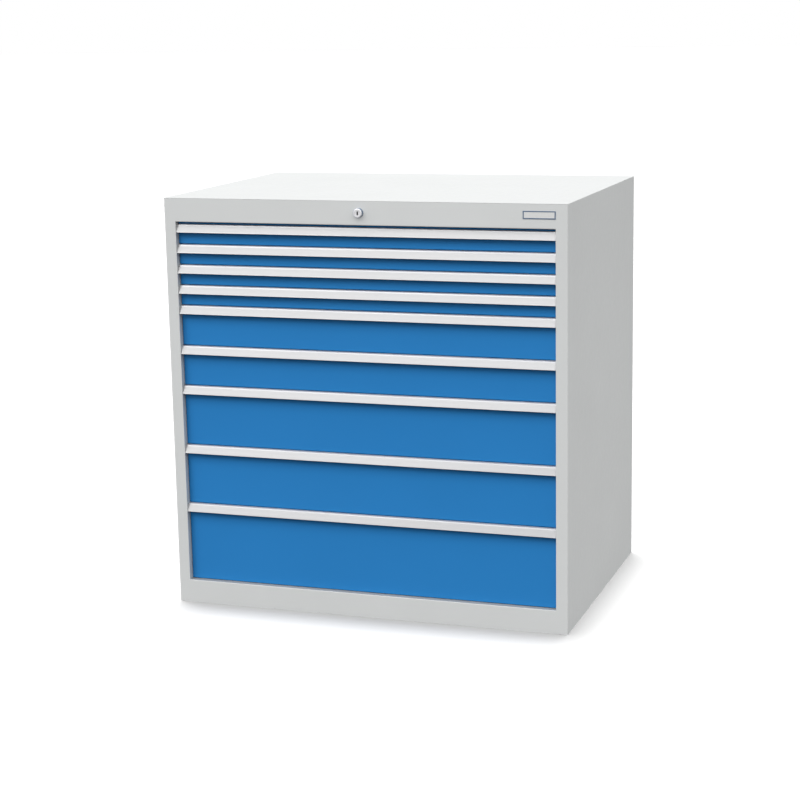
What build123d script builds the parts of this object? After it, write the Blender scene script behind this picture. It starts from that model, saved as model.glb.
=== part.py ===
from build123d import *
import os
from math import acos, pi, sin

# Industrial drawer cabinet: a welded sheet steel housing with full-width drawers on telescopic slides,
# a pull strip along the top of every drawer front, and one central lock in the top rail.
# Millimetres. +Z is up, the drawers face -Y, and the origin is the centre of the bottom face.

# Drawers, from the top one to the bottom one
FRONT_PITCHES = (50, 50, 50, 50, 100, 100, 150, 150, 200)
FRONT_RECESS = 15
FRONT_SIDE_GAP = 1
FRONT_GAP = 1.3
FRONT_SHEET = 1.5
FRONT_BEND = 1.2
FRONT_RETURN = 12

# Trays
TRAY_WIDTH = 900
TRAY_DEPTH = 600
TRAY_SHEET = 1.2
TRAY_BEND = 2
TRAY_LIFT = 3
TRAY_HEADROOM = 7
TRAY_HEM_CLEARANCE = 0.7
TRAY_HEM_THICKNESS = 1.2

# Pull strips: an aluminium section with a sloping ledge, a raked label face and a finger lip
PULL_HEIGHT = 21.2
PULL_SET_BACK = 0.3
PULL_LEDGE_DEPTH = 6
PULL_LEDGE_DROP = 1.5
PULL_WALL = 1.8
PULL_LIP = 4.5
PULL_LEG = 13
PULL_TOP_RADIUS = 1
PULL_FOOT_RADIUS = 0.8
LABEL_GROOVE = 0.5
LABEL_TOP_MARGIN = 3.6
LABEL_FOOT_MARGIN = 2.7

# Telescopic slides: drawer, middle and cabinet members nested in each other, with ball cages between
SLIDE_WIDTH = 23.5
SLIDE_SHEET = 1.5
SLIDE_FRONT_GAP = 1.5
SLIDE_END_MARGIN = 11.1
SLIDE_RISE = 24
CABINET_MEMBER_HEIGHT = 44
CABINET_MEMBER_SETBACK = 9
MIDDLE_MEMBER_SETBACK = 5
DRAWER_MEMBER_WIDTH = 15.8
BALL_ROW_HEIGHT = 4
MEMBER_WEB_GAP = 1.5
STILE_CLEARANCE = 2.3
BALL_CLEARANCE = 0.3
CAGE_SHEET = 0.9
CAGE_LEG = 9

# Housing
HOUSING_SHEET = 1.5
HOUSING_BEND = 2
STILE_WIDTH = 28.5
STILE_RETURN = 22
REAR_FLANGE = 18
TOP_RAIL_HEIGHT = 58.2
BOTTOM_RAIL_HEIGHT = 58
RAIL_RETURN = 22
RAIL_LIP = 10
FIRST_PULL_GAP = 5.3
LAST_FRONT_TRIM = 2.5
SILL_GAP = 1.1
REAR_SPACE = 104.6
BASE_FLANGE = 20
TOP_EDGE_BREAK = 0.6

# Slotted uprights behind the stiles and at the rear of the slides
UPRIGHT_DEPTH = 35
UPRIGHT_BEND = 2
UPRIGHT_STILE_GAP = 3
UPRIGHT_REAR_OVERHANG = 14
SLOT_PITCH = 50
SLOT_WIDTH = 4
SLOT_HEIGHT = 16
HOOK_WIDTH = 3
HOOK_NECK = 12
HOOK_DROP = 3
HOOK_LIP = 2
HOOK_CLEARANCE = 0.2

# Central lock, its rod under the top, and the locking bar behind the trays
LOCK_DROP = 28.5
LOCK_FACE_RADIUS = 11
LOCK_PROTRUSION = 11
LOCK_EDGE = 1.5
LOCK_BARREL_RADIUS = 9
LOCK_BARREL_LENGTH = 26
LOCK_BORE_CLEARANCE = 0.2
LOCK_NUT_RADIUS = 13
LOCK_NUT_LENGTH = 4
PLUG_RADIUS = 7
PLUG_CLEARANCE = 0.05
PLUG_INSET = 0.6
PLUG_TAIL = 5
PLUG_TAIL_LENGTH = 8
KEYWAY_HEIGHT = 9
KEYWAY_WIDTH = 1.8
KEYWAY_DEPTH = 8
ROD_RADIUS = 4
ROD_SOCKET_RADIUS = 6
ROD_SOCKET_LENGTH = 12
ROD_CLEARANCE = 0.05
CRANK_THROW = 10
CRANK_RADIUS = 7
CRANK_THICKNESS = 4
CRANK_PIN_RADIUS = 3
CRANK_PIN_END = 3
CRANK_GAP = 0.5
BEARING_WIDTH = 40
BEARING_SHEET = 3
BEARING_DROP = 12
BEARING_FOOT = 12
BAR_WIDTH = 24
BAR_THICKNESS = 4
BAR_HEAD_MARGIN = 6
BAR_CLEARANCE = 0.3
CATCH_HEIGHT = 33
CATCH_REACH = 10.5
CATCH_LIP = 10.5
CATCH_WIDTH = 24
CLAW_WIDTH = 20
CLAW_BELOW_CATCH = 23
CLAW_TONGUE = 3
CLAW_HEIGHT = 12
CLAW_LIP = 2.5
CLAW_INSET = 3.5
BAR_GAP = 3.5
CROSSBAR_DRAWERS = (0, 4, 8)
CROSSBAR_HEIGHT = 30
CROSSBAR_SHEET = 2
CROSSBAR_FLANGE = 12
GUIDE_RISE = 46
GUIDE_HEIGHT = 12
GUIDE_SHEET = 2

# Name plate, left bare
PLATE_WIDTH = 77
PLATE_HEIGHT = 18.5
PLATE_THICKNESS = 0.8
PLATE_BORDER = 1
PLATE_RELIEF = 0.3
PLATE_DROP = 17

# Widths, counted from the middle of the cabinet
tray_side = TRAY_WIDTH / 2 + TRAY_SHEET
slide_back = tray_side + SLIDE_WIDTH
middle_web = slide_back - SLIDE_SHEET - MEMBER_WEB_GAP
opening_side = middle_web + STILE_CLEARANCE
half_width = opening_side + STILE_WIDTH
inner_side = half_width - HOUSING_SHEET
front_side = opening_side - FRONT_SIDE_GAP

# Heights
opening_bottom = BOTTOM_RAIL_HEIGHT
opening_height = sum(FRONT_PITCHES) + FIRST_PULL_GAP - LAST_FRONT_TRIM
opening_top = opening_bottom + opening_height
height = opening_top + TOP_RAIL_HEIGHT
under_top = height - HOUSING_SHEET
lock_height = height - LOCK_DROP

# Depths
tray_length = TRAY_DEPTH + 2 * TRAY_SHEET
depth = FRONT_RECESS + FRONT_SHEET + tray_length + REAR_SPACE + HOUSING_SHEET
front = -depth / 2
back = depth / 2
panel_face = front + FRONT_RECESS
tray_front = panel_face + FRONT_SHEET
tray_back = tray_front + tray_length
slide_front = tray_front + FRONT_RETURN + SLIDE_FRONT_GAP
slide_end = tray_back + SLIDE_END_MARGIN
front_upright = front + STILE_RETURN + UPRIGHT_STILE_GAP
rear_upright = slide_end + UPRIGHT_REAR_OVERHANG - UPRIGHT_DEPTH
bar_front = tray_back + CATCH_REACH + BAR_GAP
bar_back = bar_front + BAR_THICKNESS
crank_back = bar_front - CRANK_GAP
crank_front = crank_back - CRANK_THICKNESS
crossbar_front = bar_back + BAR_CLEARANCE

# Half heights of the nested slide members
cabinet_half = CABINET_MEMBER_HEIGHT / 2
middle_half = cabinet_half - SLIDE_SHEET - BALL_ROW_HEIGHT
drawer_half = middle_half - SLIDE_SHEET - BALL_ROW_HEIGHT

# The hem fills what the slide leaves free on the side of the thinnest tray
thin_tray_top = min(FRONT_PITCHES) - FRONT_GAP - TRAY_HEADROOM
hem_height = thin_tray_top - SLIDE_RISE - drawer_half - TRAY_HEM_CLEARANCE


def drawer_levels():
    """Bottom of every drawer front and top of its pull strip, from the top drawer down."""
    levels = []
    top = opening_top - FIRST_PULL_GAP
    for pitch in FRONT_PITCHES:
        bottom = top - pitch + FRONT_GAP
        levels.append([bottom, top])
        top -= pitch
    levels[-1][0] = opening_bottom + SILL_GAP
    return levels


def block(x0, x1, y0, y1, z0, z1):
    """A box between two corners."""
    return Pos(x0, y0, z0) * Box(x1 - x0, y1 - y0, z1 - z0, align=(Align.MIN, Align.MIN, Align.MIN))


def along_x(section, x0, x1):
    """A section drawn in (y, z), pushed from x0 to x1."""
    plane = Plane(origin=(x0, 0, 0), x_dir=(0, 1, 0), z_dir=(1, 0, 0))
    return extrude(plane * section, x1 - x0, dir=(1, 0, 0))


def along_y(section, y0, y1):
    """A section drawn in (x, z), pushed from y0 to y1."""
    plane = Plane(origin=(0, y0, 0), x_dir=(1, 0, 0), z_dir=(0, -1, 0))
    return extrude(plane * section, y1 - y0, dir=(0, 1, 0))


def along_z(section, z0, z1):
    """A section drawn in (x, y), pushed from z0 to z1."""
    return extrude(Plane.XY.offset(z0) * section, z1 - z0, dir=(0, 0, 1))


def rod_y(radius, y0, y1, x=0.0, z=0.0):
    """A round bar along the depth of the cabinet."""
    return along_y(Pos(x, z) * Circle(radius), y0, y1)


def folded(points, sheet, bends):
    """The section of a folded sheet: the points follow its outer face, and the sheet lies on their left."""
    line = FilletPolyline(*points, radius=bends)
    return make_face(offset(line, amount=sheet, side=Side.LEFT, closed=True).edges())


def both_sides(piece):
    """A piece on the right and its mirror image on the left."""
    return [piece, mirror(piece, Plane.YZ)]


def write(node, pieces):
    """One file per node. Identical pieces in one node stay separate solids."""
    shape = pieces[0] if len(pieces) == 1 else Compound(children=list(pieces))
    export_step(shape, f"parts/{node}.step")


# Housing

def side_wall():
    """The right wall, with the front stile, its return and the rear flange folded from one sheet."""
    points = [
        (opening_side, front + STILE_RETURN),
        (opening_side, front),
        (half_width, front),
        (half_width, back),
        (half_width - REAR_FLANGE, back),
    ]
    section = folded(points, HOUSING_SHEET, [0, HOUSING_BEND, HOUSING_BEND])
    return along_z(section, 0, under_top)


def rod_bearing():
    """The hanging angle that carries the rear end of the lock rod."""
    y1 = crank_front - CRANK_GAP
    section = Polygon(
        (y1 - BEARING_FOOT, under_top), (y1, under_top), (y1, lock_height - BEARING_DROP),
        (y1 - BEARING_SHEET, lock_height - BEARING_DROP), (y1 - BEARING_SHEET, under_top - BEARING_SHEET),
        (y1 - BEARING_FOOT, under_top - BEARING_SHEET), align=None,
    )
    hole = rod_y(ROD_RADIUS + ROD_CLEARANCE, y1 - BEARING_SHEET, y1, z=lock_height)
    return along_x(section, -BEARING_WIDTH / 2, BEARING_WIDTH / 2) - hole


def top_panel():
    """The cover sheet over walls and rails, with the bearing of the lock rod welded under it."""
    corners = RectangleRounded(2 * half_width, depth, HOUSING_BEND)
    sheet = along_z(corners, under_top, height)
    sheet = chamfer(sheet.edges().group_by(Axis.Z)[-1], TOP_EDGE_BREAK)
    return sheet + rod_bearing()


def base_panel():
    """The floor of the housing, folded up behind the bottom rail and before the rear panel."""
    y0 = front + RAIL_RETURN
    y1 = back - 2 * HOUSING_SHEET
    points = [(y0, BASE_FLANGE), (y0, 0), (y1, 0), (y1, BASE_FLANGE)]
    return along_x(folded(points, HOUSING_SHEET, HOUSING_BEND), -inner_side, inner_side)


def rear_panel():
    """The rear sheet, welded inside the rear flanges of the walls."""
    side = inner_side - (HOUSING_BEND - HOUSING_SHEET)
    return block(-side, side, back - 2 * HOUSING_SHEET, back - HOUSING_SHEET, 0, under_top)


def top_rail():
    """The channel over the opening, with the bore for the lock."""
    points = [
        (front + RAIL_RETURN, under_top),
        (front, under_top),
        (front, opening_top),
        (front + RAIL_RETURN, opening_top),
        (front + RAIL_RETURN, opening_top + RAIL_LIP),
    ]
    section = folded(points, HOUSING_SHEET, [0, HOUSING_BEND, HOUSING_BEND])
    rail = along_x(section, -opening_side, opening_side)
    bore = rod_y(LOCK_BARREL_RADIUS + LOCK_BORE_CLEARANCE, front, front + RAIL_RETURN, z=lock_height)
    return rail - bore


def bottom_rail():
    """The channel under the opening, whose top is the sill."""
    points = [
        (front + RAIL_RETURN, opening_bottom - RAIL_LIP),
        (front + RAIL_RETURN, opening_bottom),
        (front, opening_bottom),
        (front, 0),
        (front + RAIL_RETURN, 0),
    ]
    section = folded(points, HOUSING_SHEET, [HOUSING_BEND, HOUSING_BEND, 0])
    return along_x(section, -opening_side, opening_side)


def slot_heights():
    """Slots at every drawer's slide, and at the raster above it where the drawer is taller."""
    heights = []
    for bottom, top in drawer_levels():
        count = max(1, round((top - bottom) / SLOT_PITCH))
        heights += [bottom + SLIDE_RISE + step * SLOT_PITCH for step in range(count)]
    return heights


def upright(y0):
    """A slotted channel on the right wall. Its web carries the hooks of the cabinet members."""
    y1 = y0 + UPRIGHT_DEPTH
    points = [(inner_side, y1), (slide_back, y1), (slide_back, y0), (inner_side, y0)]
    channel = along_z(folded(points, HOUSING_SHEET, UPRIGHT_BEND), HOUSING_SHEET, under_top)
    middle = y0 + UPRIGHT_DEPTH / 2
    slots = [
        block(slide_back, slide_back + HOUSING_SHEET, middle - SLOT_WIDTH / 2, middle + SLOT_WIDTH / 2,
              level - SLOT_HEIGHT / 2, level + SLOT_HEIGHT / 2)
        for level in slot_heights()
    ]
    return channel - slots


# Drawers

def front_panel(bottom, top):
    """A drawer front: a shallow pan, open to the rear, with its returns all round."""
    y1 = panel_face + FRONT_SHEET + FRONT_RETURN
    pan = block(-front_side, front_side, panel_face, y1, bottom, top)
    pan = fillet(pan.edges().group_by(Axis.Y)[0], FRONT_BEND)
    hollow = block(-front_side + FRONT_SHEET, front_side - FRONT_SHEET, tray_front, y1,
                   bottom + FRONT_SHEET, top - FRONT_SHEET)
    return pan - hollow


def pull_strip(top):
    """The pull strip on a drawer front: ledge, label face with its groove, finger lip and fixing leg."""
    face = front + PULL_SET_BACK
    foot = top - PULL_HEIGHT
    nose = panel_face - PULL_LEDGE_DEPTH
    shoulder = top - PULL_LEDGE_DROP
    outline = Polygon((panel_face, top), (nose, shoulder), (face, foot), (panel_face, foot), align=None)
    inside = offset(outline, amount=-PULL_WALL, kind=Kind.INTERSECTION)
    corners = outline.vertices().sort_by(Axis.X)
    shell = fillet(corners[0], PULL_FOOT_RADIUS)
    nose_corner = shell.vertices().sort_by_distance((nose, shoulder))[0]
    shell = fillet(nose_corner, PULL_TOP_RADIUS)
    mouth_width = panel_face - PULL_WALL - face - PULL_LIP
    mouth = Pos(face + PULL_LIP, foot) * Rectangle(
        mouth_width, 2 * PULL_WALL, align=(Align.MIN, Align.CENTER))
    leg_end = Pos(panel_face, foot) * Rectangle(
        PULL_WALL, PULL_HEIGHT - PULL_LEG, align=(Align.MAX, Align.MIN))
    rake = Vector(face - nose, foot - shoulder)
    along = rake.normalized()
    inward = Vector(-along.Y, along.X)
    start = Vector(nose, shoulder) + along * LABEL_TOP_MARGIN
    end = Vector(face, foot) - along * LABEL_FOOT_MARGIN
    groove = Polygon(start - inward, end - inward, end + inward * LABEL_GROOVE,
                     start + inward * LABEL_GROOVE, align=None)
    return along_x(shell - inside - mouth - leg_end - groove, -front_side, front_side)


def tray(bottom, top):
    """The tray behind a drawer front, hemmed along its sides, with the catch of the lock at the rear."""
    z0 = bottom + TRAY_LIFT
    z1 = top - TRAY_HEADROOM
    shell = block(-tray_side, tray_side, tray_front, tray_back, z0, z1)
    shell = fillet(shell.edges().group_by(Axis.Z)[0].filter_by(Axis.Y), TRAY_BEND)
    hollow = block(-tray_side + TRAY_SHEET, tray_side - TRAY_SHEET, tray_front + TRAY_SHEET,
                   tray_back - TRAY_SHEET, z0 + TRAY_SHEET, z1)
    hem = block(tray_side, tray_side + TRAY_HEM_THICKNESS, tray_front, tray_back, z1 - hem_height, z1)
    catch_top = z0 + CATCH_HEIGHT + TRAY_SHEET
    catch_back = tray_back + CATCH_REACH
    catch = Polygon(
        (tray_back, catch_top), (catch_back, catch_top), (catch_back, catch_top - CATCH_LIP),
        (catch_back - TRAY_SHEET, catch_top - CATCH_LIP), (catch_back - TRAY_SHEET, catch_top - TRAY_SHEET),
        (tray_back, catch_top - TRAY_SHEET), align=None,
    )
    return shell - hollow + both_sides(hem) + along_x(catch, -CATCH_WIDTH / 2, CATCH_WIDTH / 2)


# Slides, all drawn for the right side

def channel_section(web, tips, half_height, sheet, level):
    """A channel on its side, from the outer face of its web to the tips of its flanges."""
    inner = web + sheet if tips > web else web - sheet
    return Polygon(
        (tips, level - half_height), (web, level - half_height),
        (web, level + half_height), (tips, level + half_height),
        (tips, level + half_height - sheet), (inner, level + half_height - sheet),
        (inner, level - half_height + sheet), (tips, level - half_height + sheet),
        align=None,
    )


def drawer_member(level):
    """The inner member, spot welded to the side of the tray."""
    section = channel_section(tray_side, tray_side + DRAWER_MEMBER_WIDTH, drawer_half, SLIDE_SHEET, level)
    return along_y(section, slide_front, min(tray_back, slide_end))


def middle_member(level):
    """The middle member, which carries the drawer half of its way."""
    section = channel_section(middle_web, tray_side + MIDDLE_MEMBER_SETBACK, middle_half, SLIDE_SHEET, level)
    return along_y(section, slide_front, slide_end)


def ball_cages(level):
    """The two ball cages of a slide: the outer one in the rear half, the inner one in the front half."""
    half_way = (slide_front + slide_end) / 2
    outer_half = cabinet_half - SLIDE_SHEET - BALL_CLEARANCE
    outer = Pos(0, level) * (
        Pos(middle_web + CAGE_SHEET, 0) * Rectangle(
            CAGE_LEG + CAGE_SHEET, 2 * outer_half, align=(Align.MAX, Align.CENTER))
        - Pos(middle_web, 0) * Rectangle(
            CAGE_LEG, 2 * middle_half, align=(Align.MAX, Align.CENTER))
    )
    inner_web = middle_web - SLIDE_SHEET
    inner_half = middle_half - SLIDE_SHEET
    inner = Pos(0, level) * (
        Pos(inner_web, 0) * Rectangle(CAGE_LEG, 2 * inner_half, align=(Align.MAX, Align.CENTER))
        - Pos(inner_web - CAGE_SHEET, 0) * Rectangle(
            CAGE_LEG, 2 * (drawer_half + BALL_CLEARANCE), align=(Align.MAX, Align.CENTER))
    )
    return [along_y(outer, half_way, slide_end), along_y(inner, slide_front, half_way)]


def cabinet_member(level):
    """The outer member, hung by its hooks in the slots of the front and rear uprights."""
    section = channel_section(slide_back, tray_side + CABINET_MEMBER_SETBACK, cabinet_half, SLIDE_SHEET, level)
    member = along_y(section, slide_front, slide_end)
    seat = level - SLOT_HEIGHT / 2
    lip_front = slide_back + HOUSING_SHEET + HOOK_CLEARANCE
    hook = Polygon(
        (slide_back, seat), (lip_front, seat), (lip_front, seat - HOOK_DROP),
        (lip_front + HOOK_LIP, seat - HOOK_DROP), (lip_front + HOOK_LIP, seat + HOOK_NECK),
        (slide_back, seat + HOOK_NECK), align=None,
    )
    for y0 in (front_upright, rear_upright):
        middle = y0 + UPRIGHT_DEPTH / 2
        member += along_y(hook, middle - HOOK_WIDTH / 2, middle + HOOK_WIDTH / 2)
    return member


# Lock

def lock_housing():
    """The fixed barrel of the lock and the nut that clamps it to the top rail."""
    face = rod_y(LOCK_FACE_RADIUS, front - LOCK_PROTRUSION, front, z=lock_height)
    face = chamfer(face.edges().group_by(Axis.Y)[0], LOCK_EDGE)
    barrel = rod_y(LOCK_BARREL_RADIUS, front, front + LOCK_BARREL_LENGTH, z=lock_height)
    bore = rod_y(PLUG_RADIUS + PLUG_CLEARANCE, front - LOCK_PROTRUSION, front + LOCK_BARREL_LENGTH,
                 z=lock_height)
    hexagon = Pos(0, lock_height) * (
        RegularPolygon(LOCK_NUT_RADIUS, 6) - Circle(LOCK_BARREL_RADIUS + PLUG_CLEARANCE))
    nut_front = front + HOUSING_SHEET
    nut = along_y(hexagon, nut_front, nut_front + LOCK_NUT_LENGTH)
    return [face + barrel - bore, nut]


def lock_plug():
    """The turning plug with its keyway, and the square tail that drives the rod."""
    y0 = front - LOCK_PROTRUSION + PLUG_INSET
    y1 = front + LOCK_BARREL_LENGTH
    plug = rod_y(PLUG_RADIUS, y0, y1, z=lock_height)
    keyway = block(-KEYWAY_WIDTH / 2, KEYWAY_WIDTH / 2, y0, y0 + KEYWAY_DEPTH,
                   lock_height - KEYWAY_HEIGHT / 2, lock_height + KEYWAY_HEIGHT / 2)
    tail = block(-PLUG_TAIL / 2, PLUG_TAIL / 2, y1, y1 + PLUG_TAIL_LENGTH,
                 lock_height - PLUG_TAIL / 2, lock_height + PLUG_TAIL / 2)
    return plug - keyway + tail


def lock_rod():
    """The rod under the top panel, socketed on the plug, with the crank and its pin at the rear."""
    y0 = front + LOCK_BARREL_LENGTH
    socket = rod_y(ROD_SOCKET_RADIUS, y0, y0 + ROD_SOCKET_LENGTH, z=lock_height)
    side = PLUG_TAIL / 2 + PLUG_CLEARANCE
    pocket = block(-side, side, y0, y0 + PLUG_TAIL_LENGTH + PLUG_CLEARANCE,
                   lock_height - side, lock_height + side)
    rod = rod_y(ROD_RADIUS, y0 + ROD_SOCKET_LENGTH, crank_front, z=lock_height)
    arm = Pos(-CRANK_THROW / 2, lock_height) * SlotCenterToCenter(CRANK_THROW, 2 * CRANK_RADIUS)
    crank = along_y(arm, crank_front, crank_back)
    pin = rod_y(CRANK_PIN_RADIUS, crank_back, bar_back + CRANK_PIN_END, x=-CRANK_THROW, z=lock_height)
    return socket - pocket + rod + crank + pin


def locking_bar():
    """The flat bar that the crank lifts. The slot in its head leaves room for the path of the crank pin."""
    lowest = drawer_levels()[-1][0] + TRAY_LIFT
    lead_angle = acos(2 / pi)
    crank_lead = CRANK_THROW * (sin(lead_angle) - lead_angle / (pi / 2))
    slot_bottom = -CRANK_PIN_RADIUS - BAR_CLEARANCE
    slot_top = CRANK_PIN_RADIUS + crank_lead + BAR_CLEARANCE
    slot_left = -CRANK_THROW + slot_bottom
    slot_right = CRANK_PIN_RADIUS + BAR_CLEARANCE
    margin = BAR_HEAD_MARGIN
    strip = block(-BAR_WIDTH / 2, BAR_WIDTH / 2, bar_front, bar_back, lowest, lock_height)
    head = block(slot_left - margin, max(slot_right + margin, BAR_WIDTH / 2), bar_front, bar_back,
                 lock_height + slot_bottom - margin, lock_height + slot_top + margin)
    slot = block(slot_left, slot_right, bar_front, bar_back, lock_height + slot_bottom, lock_height + slot_top)
    return strip + head - slot


def claw(bottom):
    """The angle on the locking bar that rises behind the catch of a tray and holds the drawer shut."""
    claw_front = tray_back + CLAW_INSET
    z0 = bottom + TRAY_LIFT + CATCH_HEIGHT - CLAW_BELOW_CATCH
    section = Polygon(
        (claw_front, z0), (bar_front, z0), (bar_front, z0 + CLAW_TONGUE),
        (claw_front + CLAW_LIP, z0 + CLAW_TONGUE), (claw_front + CLAW_LIP, z0 + CLAW_HEIGHT),
        (claw_front, z0 + CLAW_HEIGHT), align=None,
    )
    return along_x(section, -CLAW_WIDTH / 2, CLAW_WIDTH / 2)


def crossbar(bottom):
    """An angle between the rear uprights, with a strap that guides the locking bar."""
    level = bottom + TRAY_LIFT + GUIDE_RISE
    z0 = level - CROSSBAR_HEIGHT / 2
    z1 = level + CROSSBAR_HEIGHT / 2
    y0 = crossbar_front
    angle = Polygon(
        (y0, z0), (y0 + CROSSBAR_SHEET, z0), (y0 + CROSSBAR_SHEET, z1 - CROSSBAR_SHEET),
        (y0 + CROSSBAR_FLANGE, z1 - CROSSBAR_SHEET), (y0 + CROSSBAR_FLANGE, z1), (y0, z1), align=None,
    )
    inner = BAR_WIDTH / 2 + BAR_CLEARANCE
    outer = inner + GUIDE_SHEET
    way_front = bar_front - BAR_CLEARANCE
    strap = Polygon(
        (-outer, y0), (-outer, way_front - GUIDE_SHEET), (outer, way_front - GUIDE_SHEET), (outer, y0),
        (inner, y0), (inner, way_front), (-inner, way_front), (-inner, y0), align=None,
    )
    return along_x(angle, -slide_back, slide_back) + along_z(
        strap, level - GUIDE_HEIGHT / 2, level + GUIDE_HEIGHT / 2)


def name_plate():
    """The small bare plate at the right end of the top rail, with a raised border."""
    x1 = opening_side
    z1 = height - PLATE_DROP
    centre = Pos(x1 - PLATE_WIDTH / 2, z1 - PLATE_HEIGHT / 2)
    outer = along_y(centre * Rectangle(PLATE_WIDTH, PLATE_HEIGHT), front - PLATE_THICKNESS, front)
    field = along_y(centre * Rectangle(PLATE_WIDTH - 2 * PLATE_BORDER, PLATE_HEIGHT - 2 * PLATE_BORDER),
                    front - PLATE_THICKNESS, front - PLATE_THICKNESS + PLATE_RELIEF)
    return outer - field


def main():
    os.makedirs("parts", exist_ok=True)
    wall = side_wall()
    write("side_wall_right", [wall])
    write("side_wall_left", [mirror(wall, Plane.YZ)])
    write("top_panel", [top_panel()])
    write("base_panel", [base_panel()])
    write("rear_panel", [rear_panel()])
    write("top_rail", [top_rail()])
    write("bottom_rail", [bottom_rail()])
    write("slotted_uprights", both_sides(upright(front_upright)) + both_sides(upright(rear_upright)))

    cabinet_members = []
    for number, (bottom, top) in enumerate(drawer_levels(), start=1):
        level = bottom + SLIDE_RISE
        head = opening_top - FRONT_GAP if number == 1 else top
        write(f"drawer_front_{number}", [front_panel(bottom, head)])
        write(f"pull_strip_{number}", [pull_strip(top)])
        write(f"drawer_tray_{number}", [tray(bottom, top)])
        write(f"drawer_slides_{number}", both_sides(drawer_member(level)))
        middle = [middle_member(level)] + ball_cages(level)
        write(f"middle_slides_{number}", [side for piece in middle for side in both_sides(piece)])
        cabinet_members += both_sides(cabinet_member(level))
    write("cabinet_slides", cabinet_members)

    write("lock_housing", lock_housing())
    write("lock_plug", [lock_plug()])
    write("lock_rod", [lock_rod()])
    bottoms = [bottom for bottom, top in drawer_levels()]
    write("locking_bar", [locking_bar()] + [claw(bottom) for bottom in bottoms])
    write("bar_crossbars", [crossbar(bottoms[index]) for index in CROSSBAR_DRAWERS])
    write("name_plate", [name_plate()])


main()
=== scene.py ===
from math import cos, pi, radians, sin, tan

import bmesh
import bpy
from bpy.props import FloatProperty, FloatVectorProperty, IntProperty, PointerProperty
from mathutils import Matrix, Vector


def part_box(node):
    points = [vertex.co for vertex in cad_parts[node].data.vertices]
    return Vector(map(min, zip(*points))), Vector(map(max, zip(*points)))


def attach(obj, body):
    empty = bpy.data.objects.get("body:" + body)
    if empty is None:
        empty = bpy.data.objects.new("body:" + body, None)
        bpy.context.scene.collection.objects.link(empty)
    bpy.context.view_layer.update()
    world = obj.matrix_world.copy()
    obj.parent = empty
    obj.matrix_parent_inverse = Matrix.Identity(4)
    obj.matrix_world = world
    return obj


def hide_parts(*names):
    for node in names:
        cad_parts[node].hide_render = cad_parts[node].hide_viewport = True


bl_info = {
    "name": "Workshop drawer cabinet",
    "version": (1, 0, 0),
    "blender": (4, 5, 0),
    "location": "View3D > Sidebar > Cabinet",
    "description": "Dresses a sheet steel drawer cabinet: coats, pull strips, slotted trays, slides and lock",
    "category": "Object",
}

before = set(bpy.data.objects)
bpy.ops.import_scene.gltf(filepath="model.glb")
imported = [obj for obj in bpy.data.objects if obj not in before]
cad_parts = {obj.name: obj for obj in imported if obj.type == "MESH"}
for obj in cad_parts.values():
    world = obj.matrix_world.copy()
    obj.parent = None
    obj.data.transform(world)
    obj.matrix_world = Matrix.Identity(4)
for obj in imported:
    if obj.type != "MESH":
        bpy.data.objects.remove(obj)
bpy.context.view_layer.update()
DRAWERS = sorted(int(name.split("_")[-1]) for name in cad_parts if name.startswith("drawer_front_"))
MM = 0.001


def colour(name, description, default):
    """A colour that a user may change, as linear red, green and blue."""
    return FloatVectorProperty(name=name, description=description, default=default,
                               subtype="COLOR", size=3, min=0.0, max=1.0)


def length(name, description, default):
    """A length that a user may change, in metres."""
    return FloatProperty(name=name, description=description, default=default,
                         unit="LENGTH", subtype="DISTANCE")


class CabinetFinish(bpy.types.PropertyGroup):
    """Colours of the coats, metals and plastics."""
    housing: colour("Housing", "Light grey powder coat of the housing", (0.61, 0.622, 0.62))
    fronts: colour("Fronts", "Blue powder coat of the drawer fronts", (0.022, 0.194, 0.495))
    trays: colour("Trays", "Light grey powder coat of the trays", (0.56, 0.57, 0.57))
    pulls: colour("Pull strips", "Matt anodised aluminium", (0.406, 0.406, 0.416))
    labels: colour("Labels", "Blank label strip behind its clear cover", (0.415, 0.415, 0.42))
    caps: colour("End caps", "Grey plastic caps of the pull strips", (0.415, 0.415, 0.425))
    zinc: colour("Zinc", "Zinc plated slides and uprights", (0.60, 0.62, 0.64))
    lock_face: colour("Lock face", "Satin nickel of the lock", (0.78, 0.78, 0.8))
    # Painted shade: the sleeve's blue grey stands in for the shaded side of the lock's barrel
    lock_sleeve: colour("Lock sleeve", "Blue grey sleeve round the lock", (0.11, 0.16, 0.24))
    # Painted shade: a near black block stands for the dark inside of the keyhole
    keyway: colour("Keyway", "Dark insert in the keyway", (0.01, 0.01, 0.012))
    plate: colour("Name plate", "Bare field of the name plate", (0.72, 0.725, 0.72))
    plate_border: colour("Plate border", "Border of the name plate", (0.11, 0.16, 0.24))


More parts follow.
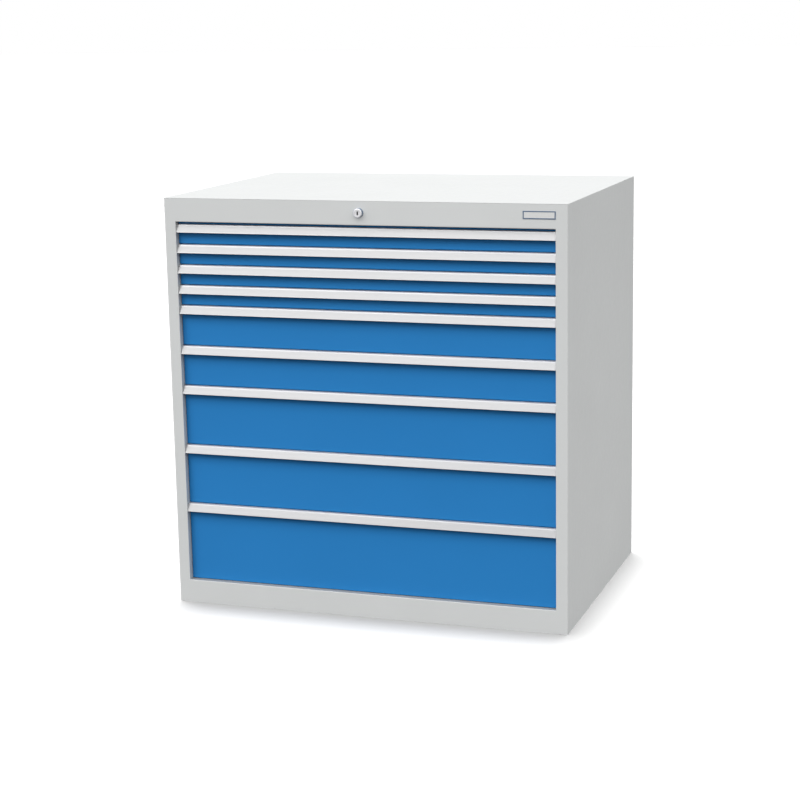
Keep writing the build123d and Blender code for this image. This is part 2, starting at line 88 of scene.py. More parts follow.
class CabinetSizes(bpy.types.PropertyGroup):
    """Sizes of the pieces that dress the frame."""
    ledge_depth: length("Ledge depth", "How far the pull's ledge slopes forward", 6 * MM)
    ledge_drop: length("Ledge drop", "How far the ledge falls over its depth", 1.5 * MM)
    pull_set_back: length("Set back", "Foot of the label face behind the housing's front", 0.3 * MM)
    pull_wall: length("Pull wall", "Wall of the aluminium section", 1.8 * MM)
    pull_lip: length("Finger lip", "Depth of the lip at the foot of the pull", 4.5 * MM)
    pull_leg: length("Fixing leg", "Height of the leg on the drawer front", 13 * MM)
    nose_radius: length("Nose radius", "Rounding between ledge and label face", 1 * MM)
    foot_radius: length("Foot radius", "Rounding under the label face", 0.8 * MM)
    cap_thickness: length("Cap thickness", "Plastic cap at each end of a pull", 1.5 * MM)
    cap_reach: length("Cap reach", "How far a cap stands out sideways past the drawer front", 0.6 * MM)
    label_thickness: length("Label thickness", "Label strip with its clear cover", 0.4 * MM)
    label_top: length("Label top margin", "Bare aluminium over the label", 3.6 * MM)
    label_foot: length("Label foot margin", "Bare aluminium under the label", 2.7 * MM)
    tray_sheet: length("Tray sheet", "Sheet of the trays", 1.2 * MM)
    slit_pitch: length("Slit pitch", "Raster of the slits for dividers", 25 * MM)
    slit_width: length("Slit width", "Width of a divider slit", 3 * MM)
    slit_height: length("Slit height", "Height of a divider slit", 16 * MM)
    slit_foot: length("Slit foot", "Bottom of the first row of slits above the tray's floor", 12 * MM)
    slit_head: length("Slit head", "Top of the last row of slits under the tray's rim", 9 * MM)
    hem: length("Hem", "Thickness of the hem on the outside of the tray's rim", 1.2 * MM)
    hem_height: length("Hem height", "Height of the hem", 6 * MM)
    tray_bend: length("Tray bend", "Outer radius of the bends along the tray's floor", 2 * MM)
    catch_reach: length("Catch reach", "How far the lock's catch stands out behind the tray", 10.5 * MM)
    catch_width: length("Catch width", "Width of the lock's catch", 24 * MM)
    catch_height: length("Catch height", "Top of the catch above the tray's floor", 34.2 * MM)
    catch_lip: length("Catch lip", "How far the catch turns down", 10.5 * MM)
    groove: length("Label groove", "Depth of the groove that holds the label", 0.5 * MM)
    plate_border: length("Plate border", "Width of the border of the name plate", 2.4 * MM)
    plate_relief: length("Plate relief", "Depth of the name plate's field", 0.3 * MM)
    # The sleeve of painted shade round the lock's face
    sleeve: length("Lock sleeve", "Wall of the sleeve round the lock", 0.4 * MM)
    sleeve_margin: length("Sleeve margin", "Bare rim between the sleeve and the lock's face", 1.5 * MM)
    lock_radius: length("Lock radius", "Radius of the lock's face", 11 * MM)
    # Size of the near black block of painted shade in the keyway
    keyway_width: length("Keyway width", "Width of the dark insert in the keyway", 3.4 * MM)
    keyway_height: length("Keyway height", "Height of the insert", 8.8 * MM)
    keyway_relief: length("Keyway relief", "How far the insert stands out of the plug", 0.2 * MM)
    round_steps: IntProperty(name="Round steps", description="Steps in a quarter turn", default=8, min=2)


class CabinetStage(bpy.types.PropertyGroup):
    """Camera, floor and studio light."""
    azimuth: FloatProperty(name="Azimuth", description="Camera's turn round the cabinet",
                           default=radians(18.907), subtype="ANGLE")
    elevation: FloatProperty(name="Elevation", description="Camera above the horizon",
                             default=radians(11.65), subtype="ANGLE")
    roll: FloatProperty(name="Roll", description="Camera's turn about its own axis",
                        default=radians(-1.045), subtype="ANGLE")
    distance: length("Distance", "Camera to target", 4.891)
    lens: FloatProperty(name="Lens", description="Focal length in millimetres", default=85.3)
    target: FloatVectorProperty(name="Target", description="Point that the camera looks at",
                                default=(-0.0304, -0.0005, 0.4686), subtype="TRANSLATION", size=3)
    floor_size: length("Floor", "Side of the square floor", 120.0)
    sky: FloatProperty(name="Sky", description="Strength of the soft light from all round", default=0.634)
    sky_lean: FloatVectorProperty(name="Sky lean",
                                  description="How much brighter the sky is to the right, behind and above",
                                  default=(0.0, -0.2, 2.0), subtype="XYZ", size=3)
    key: FloatProperty(name="Key light", description="Strength of the soft light from the upper left",
                       default=1.66)
    floor_light: FloatProperty(name="Floor light", description="Strength of the light that whitens the floor",
                               default=4.9)
    fill: FloatProperty(name="Fill light", description="Power of the softbox at the right in watts",
                        default=19.2)
    rear_fill: FloatProperty(name="Rear light", description="Power of the softbox behind in watts",
                             default=60.0)


# Shapes

LATHE_STEPS = 96
WELD_DISTANCE = 1e-7
SHARP_ABOVE = radians(35)


def box_of(node):
    """Lowest and highest corner of a frame node."""
    low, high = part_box(node)
    return Vector(low), Vector(high)


FRONT = box_of("top_rail")[0].y


def add_block(bm, low, high):
    """A box between two corners."""
    corners = [bm.verts.new((x, y, z)) for x in (low[0], high[0]) for y in (low[1], high[1])
               for z in (low[2], high[2])]
    for loop in ((0, 1, 3, 2), (4, 6, 7, 5), (0, 4, 5, 1), (2, 3, 7, 6), (0, 2, 6, 4), (1, 5, 7, 3)):
        bm.faces.new([corners[index] for index in loop])


def rounded(points, radii, steps):
    """An outline with its corners rounded. The points go round in order, and a radius of 0 stays sharp."""
    outline = []
    for index, (point, radius) in enumerate(zip(points, radii)):
        corner = Vector(point)
        if radius == 0:
            outline.append(corner)
            continue
        before = (Vector(points[index - 1]) - corner).normalized()
        after = (Vector(points[(index + 1) % len(points)]) - corner).normalized()
        half = before.angle(after) / 2
        reach = radius / tan(half)
        centre = corner + (before + after).normalized() * (radius / sin(half))
        start = corner + before * reach - centre
        sweep = start.angle_signed(corner + after * reach - centre)
        for step in range(steps + 1):
            turn = Matrix.Rotation(-sweep * step / steps, 2)
            outline.append(centre + turn @ start)
    return outline


def on_yz(u, v, w):
    """A section in (y, z) that runs along X."""
    return (w, u, v)


def on_xz(u, v, w):
    """A section in (x, z) that runs along Y."""
    return (u, w, v)


def add_prism(bm, outline, start, end, place=on_yz):
    """An outline pushed from start to end, with both ends closed."""
    first = [bm.verts.new(place(p[0], p[1], start)) for p in outline]
    last = [bm.verts.new(place(p[0], p[1], end)) for p in outline]
    bm.faces.new(first)
    bm.faces.new(list(reversed(last)))
    for index in range(len(outline)):
        after = (index + 1) % len(outline)
        bm.faces.new((first[index], first[after], last[after], last[index]))


def add_lathe(bm, outline, centre, steps):
    """A closed outline of (radius, y) turned about a line along Y through the centre."""
    turns = [2 * pi * step / steps for step in range(steps)]
    rings = [[bm.verts.new((centre.x + radius * cos(turn), y, centre.z + radius * sin(turn))) for turn in turns]
             for radius, y in outline]
    for near, far in zip(rings, rings[1:] + rings[:1]):
        for step in range(steps):
            after = (step + 1) % steps
            bm.faces.new((near[step], near[after], far[after], far[step]))


def finished(name, bm, coat, body, stands_for=()):
    """Turns a mesh in work into a piece that rides on a body of the frame."""
    bmesh.ops.remove_doubles(bm, verts=bm.verts, dist=WELD_DISTANCE)
    bmesh.ops.recalc_face_normals(bm, faces=bm.faces)
    mesh = bpy.data.meshes.new(name)
    bm.to_mesh(mesh)
    bm.free()
    mesh.shade_smooth()
    mesh.set_sharp_from_angle(angle=SHARP_ABOVE)
    mesh.materials.append(coat)
    piece = bpy.data.objects.new(name, mesh)
    bpy.context.scene.collection.objects.link(piece)
    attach(piece, body)
    if stands_for:
        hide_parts(*stands_for)
    return piece


def coat_node(node, coat):
    """Gives a frame node its finish."""
    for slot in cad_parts[node].material_slots:
        slot.material = coat


# Finishes

# The share of a noise's range that a finish makes use of, and how far up a surface faces where the
# painted shade on upward faces begins and where it is full
NOISE_LOW, NOISE_HIGH = 0.3, 0.7
SHADE_BEGINS, SHADE_FULL = 0.3, 0.95


class Nodes:
    """A material's node tree, with short ways to add and link nodes."""

    def __init__(self, name):
        self.material = bpy.data.materials.get(name) or bpy.data.materials.new(name)
        self.material.use_nodes = True
        self.tree = self.material.node_tree
        self.tree.nodes.clear()
        self.shader = self.add("ShaderNodeBsdfPrincipled")
        output = self.add("ShaderNodeOutputMaterial")
        self.link(self.shader, "BSDF", output, "Surface")
        self.place = self.add("ShaderNodeTexCoord")

    def add(self, kind):
        return self.tree.nodes.new(kind)

    def link(self, source, out, target, socket):
        self.tree.links.new(source.outputs[out], target.inputs[socket])

    def set(self, socket, value):
        """Sets what is the same all over the surface."""
        self.shader.inputs[socket].default_value = value

    def noise(self, scale, detail=2.0, stretch=(1, 1, 1)):
        """Noise fixed to the object, coarser along the stretched directions."""
        mapping = self.add("ShaderNodeMapping")
        mapping.inputs["Scale"].default_value = stretch
        noise = self.add("ShaderNodeTexNoise")
        noise.inputs["Scale"].default_value = scale
        noise.inputs["Detail"].default_value = detail
        self.link(self.place, "Object", mapping, "Vector")
        self.link(mapping, "Vector", noise, "Vector")
        return noise

    def roughen(self, noise, low, high):
        """Varies the roughness between two values."""
        span = self.add("ShaderNodeMapRange")
        span.inputs["From Min"].default_value = NOISE_LOW
        span.inputs["From Max"].default_value = NOISE_HIGH
        span.inputs["To Min"].default_value = low
        span.inputs["To Max"].default_value = high
        self.link(noise, "Fac", span, "Value")
        self.link(span, "Result", self.shader, "Roughness")

    def tint(self, noise, base, amount):
        """Varies the base colour a little either way."""
        ramp = self.add("ShaderNodeValToRGB")
        ramp.color_ramp.elements[0].position = NOISE_LOW
        ramp.color_ramp.elements[1].position = NOISE_HIGH
        ramp.color_ramp.elements[0].color = [c * (1 - amount) for c in base] + [1]
        ramp.color_ramp.elements[1].color = [min(1, c * (1 + amount)) for c in base] + [1]
        self.link(noise, "Fac", ramp, "Fac")
        self.link(ramp, "Color", self.shader, "Base Color")

    def paint_shade_upward(self, amount):
        """Paints shade into the coat: darkens the base colour where the surface faces up."""
        coat = self.shader.inputs["Base Color"].links[0].from_socket
        facing = self.add("ShaderNodeSeparateXYZ")
        self.tree.links.new(self.add("ShaderNodeNewGeometry").outputs["True Normal"], facing.inputs[0])
        span = self.add("ShaderNodeMapRange")
        span.inputs["From Min"].default_value = SHADE_BEGINS
        span.inputs["From Max"].default_value = SHADE_FULL
        span.inputs["To Min"].default_value = 1.0
        span.inputs["To Max"].default_value = 1.0 - amount
        self.link(facing, "Z", span, "Value")
        dull = self.add("ShaderNodeVectorMath")
        dull.operation = "SCALE"
        self.tree.links.new(coat, dull.inputs[0])
        self.link(span, "Result", dull, "Scale")
        self.link(dull, "Vector", self.shader, "Base Color")

    def bump(self, noise, strength, height):
        """Raises the surface by a noise."""
        bump = self.add("ShaderNodeBump")
        bump.inputs["Strength"].default_value = strength
        bump.inputs["Distance"].default_value = height
        self.link(noise, "Fac", bump, "Height")
        self.link(bump, "Normal", self.shader, "Normal")


def powder_coat(name, base, gloss=0.5, painted_shade=0.0):
    """Baked powder coat: an even colour, a fine orange peel and a satin gloss, with painted shade on what faces
    up.
    """
    nodes = Nodes(name)
    nodes.set("Specular IOR Level", gloss)
    nodes.tint(nodes.noise(scale=5.0, detail=3.0), base, amount=0.012)
    nodes.roughen(nodes.noise(scale=60.0), low=0.40, high=0.52)
    nodes.bump(nodes.noise(scale=650.0, detail=3.0), strength=0.12, height=0.2 * MM)
    if painted_shade:
        nodes.paint_shade_upward(painted_shade)
    return nodes.material


def drawn_metal(name, base, roughness):
    """Plated metal, a little dull, with fine lines along Y, the way in which it was drawn."""
    nodes = Nodes(name)
    nodes.set("Metallic", 0.6)
    lines = nodes.noise(scale=140.0, detail=4.0, stretch=(1, 0.05, 1))
    nodes.tint(nodes.noise(scale=12.0, detail=3.0), base, amount=0.03)
    nodes.roughen(lines, low=roughness * 0.8, high=roughness * 1.25)
    nodes.bump(lines, strength=0.04, height=0.1 * MM)
    return nodes.material


def satin_metal(name, base, metallic):
    """Anodised or satin plated metal, part bright and part milky, with faint lines along X."""
    nodes = Nodes(name)
    nodes.set("Metallic", metallic)
    lines = nodes.noise(scale=400.0, detail=3.0, stretch=(0.01, 1, 1))
    nodes.tint(nodes.noise(scale=6.0, detail=3.0), base, amount=0.012)
    nodes.roughen(lines, low=0.36, high=0.46)
    nodes.bump(lines, strength=0.03, height=0.1 * MM)
    return nodes.material


def moulded_plastic(name, base, roughness):
    """Plastic with a faint mould texture."""
    nodes = Nodes(name)
    nodes.tint(nodes.noise(scale=30.0), base, amount=0.015)
    nodes.roughen(nodes.noise(scale=200.0), low=roughness * 0.85, high=roughness * 1.15)
    nodes.bump(nodes.noise(scale=1800.0), strength=0.06, height=0.1 * MM)
    return nodes.material


def label_paper(name, base):
    """A blank paper strip behind a thin clear cover."""
    nodes = Nodes(name)
    nodes.set("Coat Weight", 0.6)
    nodes.set("Coat Roughness", 0.12)
    nodes.tint(nodes.noise(scale=900.0, detail=4.0), base, amount=0.012)
    nodes.roughen(nodes.noise(scale=300.0), low=0.5, high=0.62)
    nodes.bump(nodes.noise(scale=1200.0, detail=3.0), strength=0.03, height=0.1 * MM)
    return nodes.material


# Pieces

class CABINET_OT_housing(bpy.types.Operator):
    """Coats the housing's walls, panels and rails"""
    bl_idname = "cabinet.housing"
    bl_label = "Housing"

    def execute(self, context):
        finish = context.scene.cabinet_finish
        coat = powder_coat("housing_coat", finish.housing)
        for node in ("side_wall_left", "side_wall_right", "top_panel", "base_panel", "rear_panel", "top_rail"):
            coat_node(node, coat)
        # The sill's coat carries painted shade: what faces up is darkened
        coat_node("bottom_rail", powder_coat("sill_coat", finish.housing, painted_shade=0.55))
        return {"FINISHED"}


class CABINET_OT_fronts(bpy.types.Operator):
    """Coats the drawer fronts"""
    bl_idname = "cabinet.fronts"
    bl_label = "Drawer fronts"

    def execute(self, context):
        coat = powder_coat("front_coat", context.scene.cabinet_finish.fronts, gloss=0.12)
        for number in DRAWERS:
            coat_node(f"drawer_front_{number}", coat)
        return {"FINISHED"}


def crossing(point, along, other, other_along):
    """Where two lines in a plane meet, each given by a point and a direction."""
    return point + along * ((other - point).cross(other_along) / along.cross(other_along))


def pull_corners(node, sizes):
    """The nose between ledge and label face, and the foot of the label face, in (y, z)."""
    low, high = box_of(node)
    nose = Vector((high.y - sizes.ledge_depth, high.z - sizes.ledge_drop))
    foot = Vector((FRONT + sizes.pull_set_back, low.z))
    return low, high, nose, foot


def face_directions(nose, foot):
    """The way up the label face and the way into it."""
    rake = (nose - foot).normalized()
    return rake, Vector((rake.y, -rake.x))


def pull_outline(high, nose, foot, sizes):
    """The section of a pull strip: ledge, label face with its groove, finger lip and fixing leg."""
    heel = Vector((high.y, high.z))
    slope = (heel - nose).normalized()
    rake, inward = face_directions(nose, foot)
    under = Vector((slope.y, -slope.x)) * sizes.pull_wall
    behind = inward * sizes.pull_wall
    floor = Vector((foot.x, foot.y + sizes.pull_wall))
    level = Vector((1, 0))
    upright = Vector((0, 1))
    leg = Vector((high.y - sizes.pull_wall, high.z - sizes.pull_leg))
    groove = inward * sizes.groove
    groove_top = nose - rake * sizes.label_top
    groove_foot = foot + rake * sizes.label_foot
    points = [
        heel, nose, groove_top, groove_top + groove, groove_foot + groove, groove_foot, foot,
        foot + level * sizes.pull_lip, floor + level * sizes.pull_lip,
        crossing(foot + behind, rake, floor, level),
        crossing(foot + behind, rake, nose + under, slope),
        crossing(leg, upright, nose + under, slope),
        leg, Vector((high.y, leg.y)),
    ]
    soft = sizes.pull_wall / 4
    radii = [0, sizes.nose_radius, 0, 0, 0, 0, sizes.foot_radius, soft, soft, soft, soft, 0, soft, 0]
    return rounded(points, radii, sizes.round_steps)


def cap_outline(low, high, nose, foot, sizes):
    """The end shape of a cap: the outline of the pull with its hollow closed."""
    corners = [Vector((high.y, high.z)), nose, foot, Vector((high.y, low.z))]
    return rounded(corners, [0, sizes.nose_radius, sizes.foot_radius, sizes.pull_wall], sizes.round_steps)


def label_outline(nose, foot, sizes):
    """The section of a label strip that lies in the groove."""
    rake, inward = face_directions(nose, foot)
    bed_top = nose - rake * sizes.label_top + inward * sizes.groove
    bed_foot = foot + rake * sizes.label_foot + inward * sizes.groove
    outward = -inward * sizes.label_thickness
    return [bed_top, bed_top + outward, bed_foot + outward, bed_foot]


class CABINET_OT_pull_strips(bpy.types.Operator):
    """Builds the pull strips with their label strips and end caps"""
    bl_idname = "cabinet.pull_strips"
    bl_label = "Pull strips"

    def execute(self, context):
        sizes = context.scene.cabinet_sizes
        finish = context.scene.cabinet_finish
        metal = satin_metal("pull_aluminium", finish.pulls, metallic=0.4)
        paper = label_paper("label_paper", finish.labels)
        plastic = moulded_plastic("cap_plastic", finish.caps, roughness=0.4)
        for number in DRAWERS:
            node = f"pull_strip_{number}"
            body = f"drawer_{number}"
            low, high, nose, foot = pull_corners(node, sizes)
            left = low.x + sizes.cap_thickness
            right = high.x - sizes.cap_thickness
            strip = bmesh.new()
            add_prism(strip, pull_outline(high, nose, foot, sizes), left, right)
            finished(f"pull_section_{number}", strip, metal, body, [node])
            caps = bmesh.new()
            end_shape = cap_outline(low, high, nose, foot, sizes)
            add_prism(caps, end_shape, low.x - sizes.cap_reach, left)
            add_prism(caps, end_shape, right, high.x + sizes.cap_reach)
            finished(f"pull_caps_{number}", caps, plastic, body)
            label = bmesh.new()
            add_prism(label, label_outline(nose, foot, sizes), left, right)
            finished(f"label_strip_{number}", label, paper, body)
        return {"FINISHED"}


def slit_lines(start, end, pitch, width):
    """Edges of the slits along a wall, centred on a raster: start, slit, gap, slit ... end."""
    count = int((end - start - pitch) / pitch)
    first = (start + end) / 2 - (count - 1) / 2 * pitch
    lines = [start]
    for index in range(count):
        lines += [first + index * pitch - width / 2, first + index * pitch + width / 2]
    return lines + [end]


def slit_rows(floor, rim, sizes):
    """Heights of the slits: one row in a thin tray, and one low and one high in a tall one."""
    rows = [floor, floor + sizes.slit_foot, floor + sizes.slit_foot + sizes.slit_height]
    second = rim - sizes.slit_head - sizes.slit_height
    if second > rows[-1] + sizes.slit_height:
        rows += [second, second + sizes.slit_height]
    return rows + [rim]


def add_slit_wall(bm, along, up, place, start, end):
    """A wall from start to end. Its lines are in along and up, with slits between lines 1-2, 3-4 and so on."""
    def solid(i, j):
        inside = 0 <= i < len(along) - 1 and 0 <= j < len(up) - 1
        return inside and not (i % 2 == 1 and j % 2 == 1)

    verts = {}

    def vert(i, j, depth):
        if (i, j, depth) not in verts:
            verts[i, j, depth] = bm.verts.new(place(along[i], up[j], depth))
        return verts[i, j, depth]

    for i in range(len(along) - 1):
        for j in range(len(up) - 1):
            if not solid(i, j):
                continue
            loop = [(i, j), (i + 1, j), (i + 1, j + 1), (i, j + 1)]
            bm.faces.new([vert(*corner, start) for corner in loop])
            bm.faces.new([vert(*corner, end) for corner in reversed(loop)])
            sides = (((i - 1, j), 0, 3), ((i + 1, j), 1, 2), ((i, j - 1), 0, 1), ((i, j + 1), 3, 2))
            for near, a, b in sides:
                if not solid(*near):
                    bm.faces.new([vert(*loop[a], start), vert(*loop[b], start),
                                  vert(*loop[b], end), vert(*loop[a], end)])


def add_tray(bm, low, high, sizes):
    """A tray: floor with its bends, four walls with slits, hems outside the rim, and the catch at the rear."""
    sheet = sizes.tray_sheet
    side = high.x - sizes.hem
    back = high.y - sizes.catch_reach
    floor = low.z + sheet
    bend = sizes.tray_bend
    pan = [
        Vector((-side, low.z + bend)), Vector((-side, low.z)),
        Vector((side, low.z)), Vector((side, low.z + bend)),
        Vector((side - sheet, low.z + bend)), Vector((side - sheet, floor)),
        Vector((sheet - side, floor)), Vector((sheet - side, low.z + bend)),
    ]
    radii = [0, bend, bend, 0, 0, bend - sheet, bend - sheet, 0]
    add_prism(bm, rounded(pan, radii, sizes.round_steps // 2), low.y, back, on_xz)
    rows = slit_rows(floor, high.z, sizes)
    side_rows = [low.z + bend] + rows[1:]
    lengthwise = slit_lines(low.y + sheet, back - sheet, sizes.slit_pitch, sizes.slit_width)
    across = slit_lines(sheet - side, side - sheet, sizes.slit_pitch, sizes.slit_width)
    for x in (-side, side - sheet):
        add_slit_wall(bm, [low.y] + lengthwise[1:-1] + [back], side_rows, on_yz, x, x + sheet)
    for y in (low.y, back - sheet):
        add_slit_wall(bm, across, rows, on_xz, y, y + sheet)
    for x in (-side - sizes.hem, side):
        add_block(bm, (x, low.y, high.z - sizes.hem_height), (x + sizes.hem, back, high.z))
    top = low.z + sizes.catch_height
    catch = [
        Vector((back, top)), Vector((high.y, top)), Vector((high.y, top - sizes.catch_lip)),
        Vector((high.y - sheet, top - sizes.catch_lip)), Vector((high.y - sheet, top - sheet)),
        Vector((back, top - sheet)),
    ]
    add_prism(bm, catch, -sizes.catch_width / 2, sizes.catch_width / 2)


class CABINET_OT_trays(bpy.types.Operator):
    """Builds the trays with the divider slits in their walls"""
    bl_idname = "cabinet.trays"
    bl_label = "Trays"

    def execute(self, context):
        sizes = context.scene.cabinet_sizes
        coat = powder_coat("tray_coat", context.scene.cabinet_finish.trays)
        for number in DRAWERS:
            node = f"drawer_tray_{number}"
            bm = bmesh.new()
            add_tray(bm, *box_of(node), sizes)
            finished(f"slotted_tray_{number}", bm, coat, f"drawer_{number}", [node])
        return {"FINISHED"}


class CABINET_OT_slides(bpy.types.Operator):
    """Gives the slides, uprights and crossbars their zinc"""
    bl_idname = "cabinet.slides"
    bl_label = "Slides"

    def execute(self, context):
        zinc = drawn_metal("slide_zinc", context.scene.cabinet_finish.zinc, roughness=0.38)
        nodes = ["slotted_uprights", "cabinet_slides", "bar_crossbars"]
        for number in DRAWERS:
            nodes += [f"drawer_slides_{number}", f"middle_slides_{number}"]
        for node in nodes:
            coat_node(node, zinc)
        return {"FINISHED"}


class CABINET_OT_lock(bpy.types.Operator):
    """Finishes the lock, its rod and bar, and adds painted shade: a sleeve round its face and a dark keyway
    block
    """
    bl_idname = "cabinet.lock"
    bl_label = "Lock"

    def execute(self, context):
        finish = context.scene.cabinet_finish
        sizes = context.scene.cabinet_sizes
        nickel = satin_metal("lock_nickel", finish.lock_face, metallic=0.25)
        steel = drawn_metal("lock_steel", finish.zinc, roughness=0.4)
        coat_node("lock_housing", nickel)
        coat_node("lock_plug", nickel)
        coat_node("lock_rod", steel)
        coat_node("locking_bar", steel)
        low, high = box_of("lock_plug")
        centre = (low + high) / 2
        # A near black block over the keyway: painted shade for the dark keyhole
        half = Vector((sizes.keyway_width, 0, sizes.keyway_height)) / 2
        insert = bmesh.new()
        add_block(insert, (centre.x - half.x, low.y - sizes.keyway_relief, centre.z - half.z),
                  (centre.x + half.x, low.y, centre.z + half.z))
        dark = moulded_plastic("keyway_insert", finish.keyway, roughness=0.5)
        finished("keyway_insert", insert, dark, "lock")
        # A thin ring round the lock's face whose blue grey is painted shade for the barrel's dark side
        near = box_of("lock_housing")[0].y + sizes.sleeve_margin
        inner = sizes.lock_radius
        outer = inner + sizes.sleeve
        outline = [(inner, FRONT), (outer, FRONT), (outer, near), (inner, near)]
        sleeve = bmesh.new()
        add_lathe(sleeve, outline, centre, LATHE_STEPS)
        plastic = moulded_plastic("sleeve_plastic", finish.lock_sleeve, roughness=0.35)
        finished("lock_sleeve", sleeve, plastic, "cabinet")
        return {"FINISHED"}


class CABINET_OT_name_plate(bpy.types.Operator):
    """Builds the bare name plate: a raised border round an empty field"""
    bl_idname = "cabinet.name_plate"
    bl_label = "Name plate"

    def execute(self, context):
        finish = context.scene.cabinet_finish
        sizes = context.scene.cabinet_sizes
        low, high = box_of("name_plate")
        border = sizes.plate_border
        inner_low = Vector((low.x + border, low.y + sizes.plate_relief, low.z + border))
        inner_high = Vector((high.x - border, high.y, high.z - border))
        edge = bmesh.new()
        add_block(edge, low, (inner_low.x, high.y, high.z))
        add_block(edge, (inner_high.x, low.y, low.z), high)
        add_block(edge, (inner_low.x, low.y, low.z), (inner_high.x, high.y, inner_low.z))
        add_block(edge, (inner_low.x, low.y, inner_high.z), (inner_high.x, high.y, high.z))
        ink = moulded_plastic("plate_border", finish.plate_border, roughness=0.4)
        finished("plate_border", edge, ink, "cabinet", ["name_plate"])
        field = bmesh.new()
        add_block(field, inner_low, inner_high)
        satin = satin_metal("plate_field", finish.plate, metallic=0.2)
        finished("plate_field", field, satin, "cabinet")
        return {"FINISHED"}


# Stage

# The floor's colour in what it throws back and in what the camera sees
FLOOR_BOUNCE = (0.03, 0.03, 0.03, 1)
FLOOR_SEEN = (0.45, 0.45, 0.45, 1)
FLOOR_ROUGHNESS = 0.8
# Width of the camera's sensor, in millimetres as the lens is
SENSOR_WIDTH = 36.0
# Far lights: the direction that each comes from, and how wide it looks from the cabinet
KEY_FROM = (-0.4, -0.585, 0.705)
KEY_SPREAD = radians(36)
FLOOR_LIGHT_FROM = (-0.03, 0.06, 1.0)
FLOOR_LIGHT_SPREAD = radians(8.5)
FAR_LIGHT_DISTANCE = 5.0
# Softboxes: the place, the point that it faces, and the size, in metres
FILL_PLACE = (2.6, 0.05, 0.1)
FILL_TARGET = (0.5, 0.0, 0.1)
FILL_WIDTH, FILL_HEIGHT = 0.8, 1.0
REAR_PLACE = (-2.2, 2.6, 2.2)
REAR_TARGET = (-0.2, 0.36, 0.5)
REAR_WIDTH, REAR_HEIGHT = 1.6, 1.6
# The key light leaves out what it would make too bright, and the lock casts no shadow in it
KEY_LEAVES_OUT = ("top_panel", "slotted_tray")
KEY_UNSHADED = ("lock_housing", "lock_plug", "lock_sleeve", "keyway_insert")
# The rear light reaches only the walls that the camera doesn't see
FAR_WALLS = ("rear_panel", "side_wall_left")


def add_lamp(light, place, target):
    """A light that faces a point."""
    lamp = bpy.data.objects.new(light.name, light)
    lamp.location = place
    lamp.rotation_mode = "QUATERNION"
    lamp.rotation_quaternion = (Vector(target) - Vector(place)).to_track_quat("-Z", "Y")
    bpy.context.scene.collection.objects.link(lamp)
    return lamp


def add_softbox(name, place, target, width, height, power):
    """A rectangular light that faces a point."""
    light = bpy.data.lights.new(name, "AREA")
    light.shape = "RECTANGLE"
    light.size = width
    light.size_y = height
    light.energy = power
    return add_lamp(light, place, target)


def add_far_light(name, toward, spread, strength):
    """A distant soft light that comes from a direction."""
    light = bpy.data.lights.new(name, "SUN")
    light.angle = spread
    light.energy = strength
    return add_lamp(light, Vector(toward) * FAR_LIGHT_DISTANCE, (0, 0, 0))


def group_of(name, objects):
    """A group that a lamp can be limited to."""
    group = bpy.data.collections.new(name)
    for item in objects:
        group.objects.link(item)
    return group


def add_sky(scene, strength, lean):
    """A soft white surround, brighter on the sides that it leans to. The camera sees it as full white."""
    world = bpy.data.worlds.new("studio")
    world.use_nodes = True
    scene.world = world
    nodes = world.node_tree.nodes
    links = world.node_tree.links
    background = nodes["Background"]
    background.inputs["Color"].default_value = (1, 1, 1, 1)
    place = nodes.new("ShaderNodeTexCoord")
    dot = nodes.new("ShaderNodeVectorMath")
    dot.operation = "DOT_PRODUCT"
    dot.inputs[1].default_value = lean
    light = nodes.new("ShaderNodeMath")
    light.operation = "MULTIPLY_ADD"
    light.inputs[1].default_value = strength
    light.inputs[2].default_value = strength
    path = nodes.new("ShaderNodeLightPath")
    seen = nodes.new("ShaderNodeMix")
    seen.inputs["B"].default_value = 1.0
    links.new(place.outputs["Generated"], dot.inputs[0])
    links.new(dot.outputs["Value"], light.inputs[0])
    links.new(light.outputs["Value"], seen.inputs["A"])
    links.new(path.outputs["Is Camera Ray"], seen.inputs["Factor"])
    links.new(seen.outputs["Result"], background.inputs["Strength"])


def add_floor(size):
    """A plain pale floor, which throws back less light than the camera sees."""
    bm = bmesh.new()
    half = size / 2
    corners = ((-half, -half, 0), (half, -half, 0), (half, half, 0), (-half, half, 0))
    bm.faces.new([bm.verts.new(corner) for corner in corners])
    mesh = bpy.data.meshes.new("floor")
    bm.to_mesh(mesh)
    bm.free()
    floor = bpy.data.objects.new("floor", mesh)
    bpy.context.scene.collection.objects.link(floor)
    nodes = Nodes("floor_white")
    nodes.set("Specular IOR Level", 0.0)
    nodes.set("Roughness", FLOOR_ROUGHNESS)
    path = nodes.add("ShaderNodeLightPath")
    mix = nodes.add("ShaderNodeMix")
    mix.data_type = "RGBA"
    mix.inputs["A"].default_value = FLOOR_BOUNCE
    mix.inputs["B"].default_value = FLOOR_SEEN
    nodes.link(path, "Is Camera Ray", mix, "Factor")
    nodes.link(mix, "Result", nodes.shader, "Base Color")
    mesh.materials.append(nodes.material)
    return floor


def add_camera(scene, stage):
    """The camera on its orbit round the target, rolled about its own axis."""
    level = cos(stage.elevation)
    turn = Vector((sin(stage.azimuth) * level, -cos(stage.azimuth) * level, sin(stage.elevation)))
    data = bpy.data.cameras.new("camera")
    data.lens = stage.lens
    data.sensor_width = SENSOR_WIDTH
    camera = bpy.data.objects.new("camera", data)
    camera.location = Vector(stage.target) + turn * stage.distance
    camera.rotation_mode = "QUATERNION"
    look = (-turn).to_track_quat("-Z", "Y")
    camera.rotation_quaternion = Matrix.Rotation(stage.roll, 4, turn).to_quaternion() @ look
    scene.collection.objects.link(camera)
    scene.camera = camera


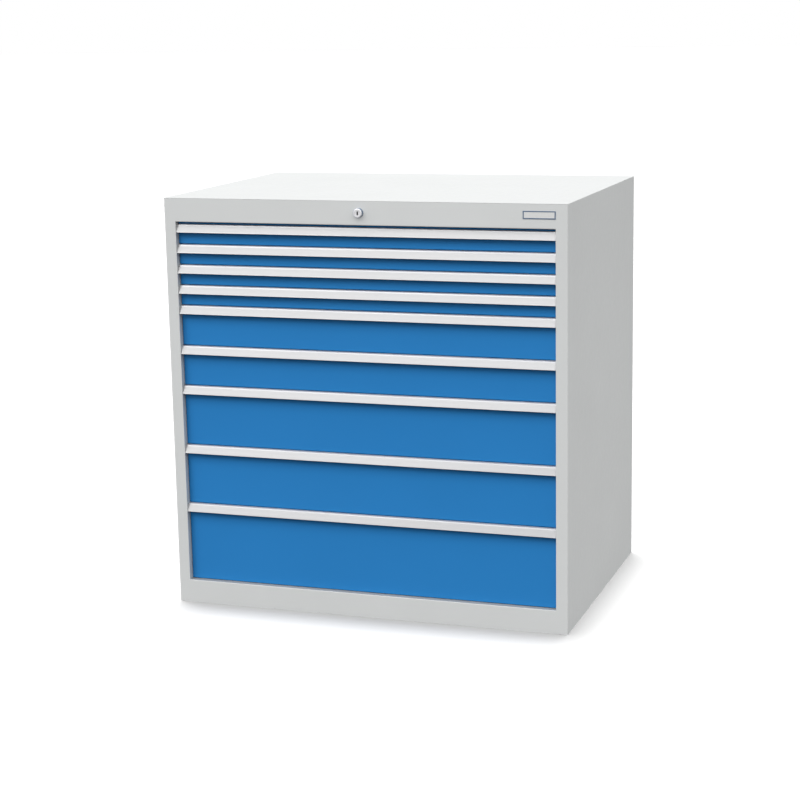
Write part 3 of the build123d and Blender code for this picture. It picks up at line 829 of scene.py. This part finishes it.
class CABINET_OT_stage(bpy.types.Operator):
    """Sets the floor, the studio light and the camera"""
    bl_idname = "cabinet.stage"
    bl_label = "Stage"

    def execute(self, context):
        scene = context.scene
        stage = scene.cabinet_stage
        scene.view_settings.view_transform = "Standard"
        dressed = [item for item in scene.objects if item.type == "MESH"]
        lit = [item for item in dressed if not item.name.startswith(KEY_LEAVES_OUT)]
        shading = [item for item in dressed if item.name not in KEY_UNSHADED]
        far_walls = [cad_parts[name] for name in FAR_WALLS]
        floor = add_floor(stage.floor_size)
        add_sky(scene, stage.sky, stage.sky_lean)
        key = add_far_light("key", KEY_FROM, KEY_SPREAD, stage.key)
        key.light_linking.receiver_collection = group_of("cabinet_lit", lit)
        key.light_linking.blocker_collection = group_of("key_shades", shading)
        floor_light = add_far_light("floor_light", FLOOR_LIGHT_FROM, FLOOR_LIGHT_SPREAD, stage.floor_light)
        floor_light.light_linking.receiver_collection = group_of("floor_lit", [floor])
        fill = add_softbox("fill", FILL_PLACE, FILL_TARGET, FILL_WIDTH, FILL_HEIGHT, stage.fill)
        fill.light_linking.receiver_collection = group_of("cabinet_filled", dressed)
        rear = add_softbox("rear_light", REAR_PLACE, REAR_TARGET, REAR_WIDTH, REAR_HEIGHT, stage.rear_fill)
        rear.light_linking.receiver_collection = group_of("far_walls_lit", far_walls)
        add_camera(scene, stage)
        return {"FINISHED"}


class CABINET_PT_panel(bpy.types.Panel):
    """Lists the steps that dress the cabinet"""
    bl_idname = "CABINET_PT_panel"
    bl_label = "Drawer cabinet"
    bl_space_type = "VIEW_3D"
    bl_region_type = "UI"
    bl_category = "Cabinet"

    def draw(self, context):
        for step in STEPS:
            self.layout.operator(step.bl_idname)
        scene = context.scene
        for settings in (scene.cabinet_finish, scene.cabinet_sizes, scene.cabinet_stage):
            column = self.layout.column()
            for name in settings.__annotations__:
                column.prop(settings, name)


STEPS = (
    CABINET_OT_housing,
    CABINET_OT_fronts,
    CABINET_OT_pull_strips,
    CABINET_OT_trays,
    CABINET_OT_slides,
    CABINET_OT_lock,
    CABINET_OT_name_plate,
    CABINET_OT_stage,
)
SETTINGS = (CabinetFinish, CabinetSizes, CabinetStage)


def register():
    for group in SETTINGS:
        bpy.utils.register_class(group)
    bpy.types.Scene.cabinet_finish = PointerProperty(type=CabinetFinish)
    bpy.types.Scene.cabinet_sizes = PointerProperty(type=CabinetSizes)
    bpy.types.Scene.cabinet_stage = PointerProperty(type=CabinetStage)
    for step in STEPS:
        bpy.utils.register_class(step)
    bpy.utils.register_class(CABINET_PT_panel)


def unregister():
    bpy.utils.unregister_class(CABINET_PT_panel)
    for step in reversed(STEPS):
        bpy.utils.unregister_class(step)
    del bpy.types.Scene.cabinet_finish
    del bpy.types.Scene.cabinet_sizes
    del bpy.types.Scene.cabinet_stage
    for group in reversed(SETTINGS):
        bpy.utils.unregister_class(group)


def main():
    register()
    bpy.ops.cabinet.housing()
    bpy.ops.cabinet.fronts()
    bpy.ops.cabinet.pull_strips()
    bpy.ops.cabinet.trays()
    bpy.ops.cabinet.slides()
    bpy.ops.cabinet.lock()
    bpy.ops.cabinet.name_plate()
    bpy.ops.cabinet.stage()


if __name__ == "__main__":
    main()
